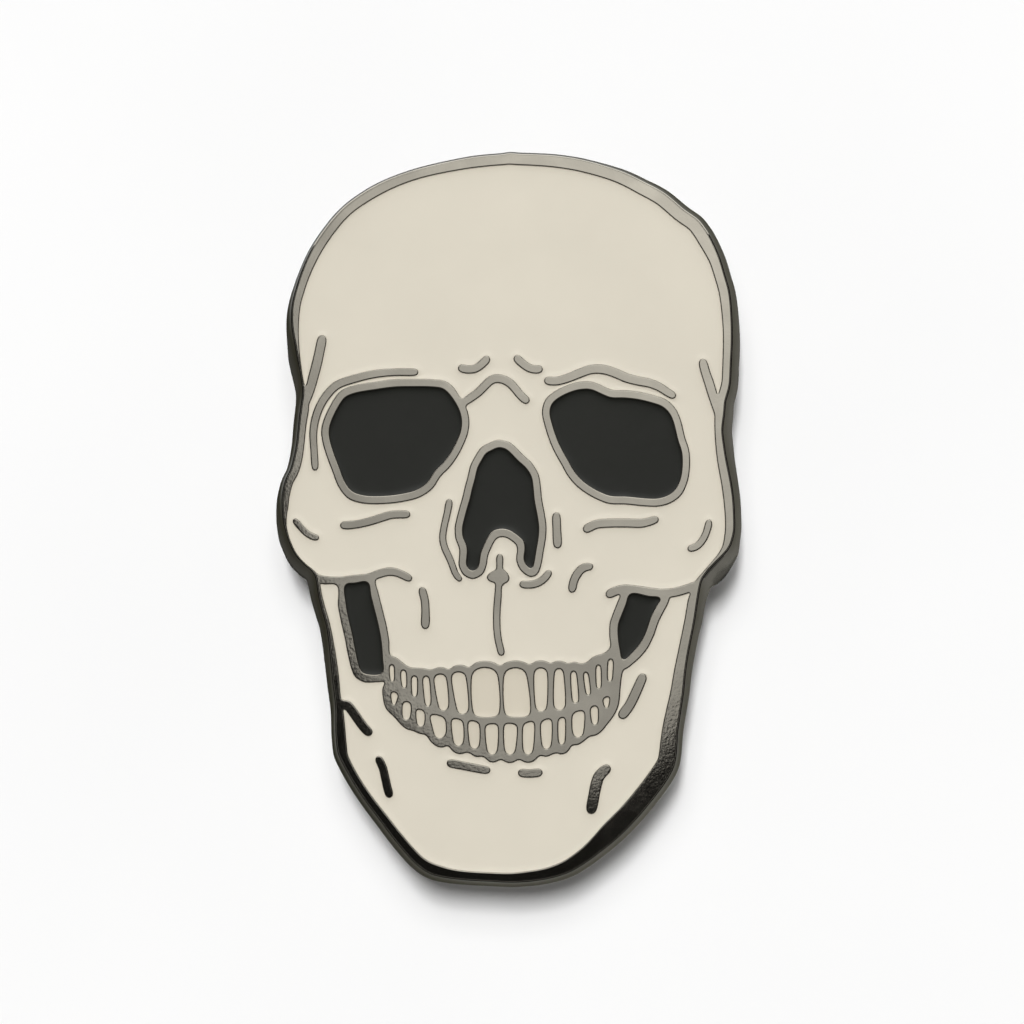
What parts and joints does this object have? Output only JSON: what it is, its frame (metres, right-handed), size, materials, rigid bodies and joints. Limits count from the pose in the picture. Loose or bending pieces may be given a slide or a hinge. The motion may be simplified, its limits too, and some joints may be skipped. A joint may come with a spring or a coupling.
{
  "type": "enamel pin badge",
  "caption": "Skull-shaped soft-enamel pin badge: die-struck plate with raised metal lines, cream and black enamel fills, nail posts and sliding butterfly clutches.",
  "frame": {"origin": "under the middle of the plate's foot outline, at the height of the table that the clutch wing tips stand on", "axes": "+Z out of the front of the pin, +Y towards the cranium, +X to the viewer's right"},
  "size_m": [0.024, 0.0382, 0.0088],
  "materials": {
    "plated_metal": "black-nickel plate with fine orange peel on the raised lines",
    "cream_enamel": "smooth satin-gloss soft enamel",
    "tooth_enamel": "smooth satin-gloss soft enamel, a little darker",
    "black_enamel": "smooth gloss soft enamel",
    "post_steel": "turned nail, nickel plated",
    "clutch_steel": "pressed sheet, nickel plated"
  },
  "bodies": {
    "pin": {"die_struck_plate": "plated_metal", "enamel_cranium_face": "cream_enamel", "enamel_jaw": "cream_enamel", "enamel_eye_left": "black_enamel", "enamel_eye_right": "black_enamel", "enamel_nose": "black_enamel", "enamel_gap_left": "black_enamel", "enamel_gap_right": "black_enamel", "upper_tooth_enamel_01": "tooth_enamel", "upper_tooth_enamel_02": "tooth_enamel", "upper_tooth_enamel_03": "tooth_enamel", "upper_tooth_enamel_04": "tooth_enamel", "upper_tooth_enamel_05": "tooth_enamel", "upper_tooth_enamel_06": "tooth_enamel", "upper_tooth_enamel_07": "tooth_enamel", "upper_tooth_enamel_08": "tooth_enamel", "upper_tooth_enamel_09": "tooth_enamel", "upper_tooth_enamel_10": "tooth_enamel", "upper_tooth_enamel_11": "tooth_enamel", "upper_tooth_enamel_12": "tooth_enamel", "upper_tooth_enamel_13": "tooth_enamel", "upper_tooth_enamel_14": "tooth_enamel", "lower_tooth_enamel_01": "tooth_enamel", "lower_tooth_enamel_02": "tooth_enamel", "lower_tooth_enamel_03": "tooth_enamel", "lower_tooth_enamel_04": "tooth_enamel", "lower_tooth_enamel_05": "tooth_enamel", "lower_tooth_enamel_06": "tooth_enamel", "lower_tooth_enamel_07": "tooth_enamel", "lower_tooth_enamel_08": "tooth_enamel", "lower_tooth_enamel_09": "tooth_enamel", "lower_tooth_enamel_10": "tooth_enamel", "lower_tooth_enamel_11": "tooth_enamel", "lower_tooth_enamel_12": "tooth_enamel", "lower_tooth_enamel_13": "tooth_enamel", "lower_tooth_enamel_14": "tooth_enamel", "upper_post": "post_steel", "lower_post": "post_steel"},
    "upper_clutch": {"upper_clutch_disc": "clutch_steel", "upper_clutch_spring_base": "clutch_steel"},
    "upper_wing_a": {"upper_clutch_wing_a": "clutch_steel"},
    "upper_wing_b": {"upper_clutch_wing_b": "clutch_steel"},
    "lower_clutch": {"lower_clutch_disc": "clutch_steel", "lower_clutch_spring_base": "clutch_steel"},
    "lower_wing_a": {"lower_clutch_wing_a": "clutch_steel"},
    "lower_wing_b": {"lower_clutch_wing_b": "clutch_steel"}
  },
  "joints": [
    {"name": "upper_clutch_slide", "type": "slide", "parent": "pin", "child": "upper_clutch", "axis": [0, 0, -1], "range_m": [0, 0.012]},
    {"name": "upper_wing_a_hinge", "type": "hinge", "parent": "upper_clutch", "child": "upper_wing_a", "pos_m": [0.004, 0.009, 0.00535], "axis": [0, -1, 0], "range_deg": [0, 14], "stiffness_Nm_per_rad": 0.02},
    {"name": "upper_wing_b_hinge", "type": "hinge", "parent": "upper_clutch", "child": "upper_wing_b", "pos_m": [-0.004, 0.009, 0.00535], "axis": [0, 1, 0], "range_deg": [0, 14], "stiffness_Nm_per_rad": 0.02},
    {"name": "lower_clutch_slide", "type": "slide", "parent": "pin", "child": "lower_clutch", "axis": [0, 0, -1], "range_m": [0, 0.012]},
    {"name": "lower_wing_a_hinge", "type": "hinge", "parent": "lower_clutch", "child": "lower_wing_a", "pos_m": [0.004, -0.009, 0.00535], "axis": [0, -1, 0], "range_deg": [0, 14], "stiffness_Nm_per_rad": 0.02},
    {"name": "lower_wing_b_hinge", "type": "hinge", "parent": "lower_clutch", "child": "lower_wing_b", "pos_m": [-0.004, -0.009, 0.00535], "axis": [0, 1, 0], "range_deg": [0, 14], "stiffness_Nm_per_rad": 0.02}
  ],
  "couplings": [
    {"joint": "upper_wing_b_hinge", "follows": "upper_wing_a_hinge", "ratio": 1},
    {"joint": "lower_wing_b_hinge", "follows": "lower_wing_a_hinge", "ratio": 1}
  ]
}
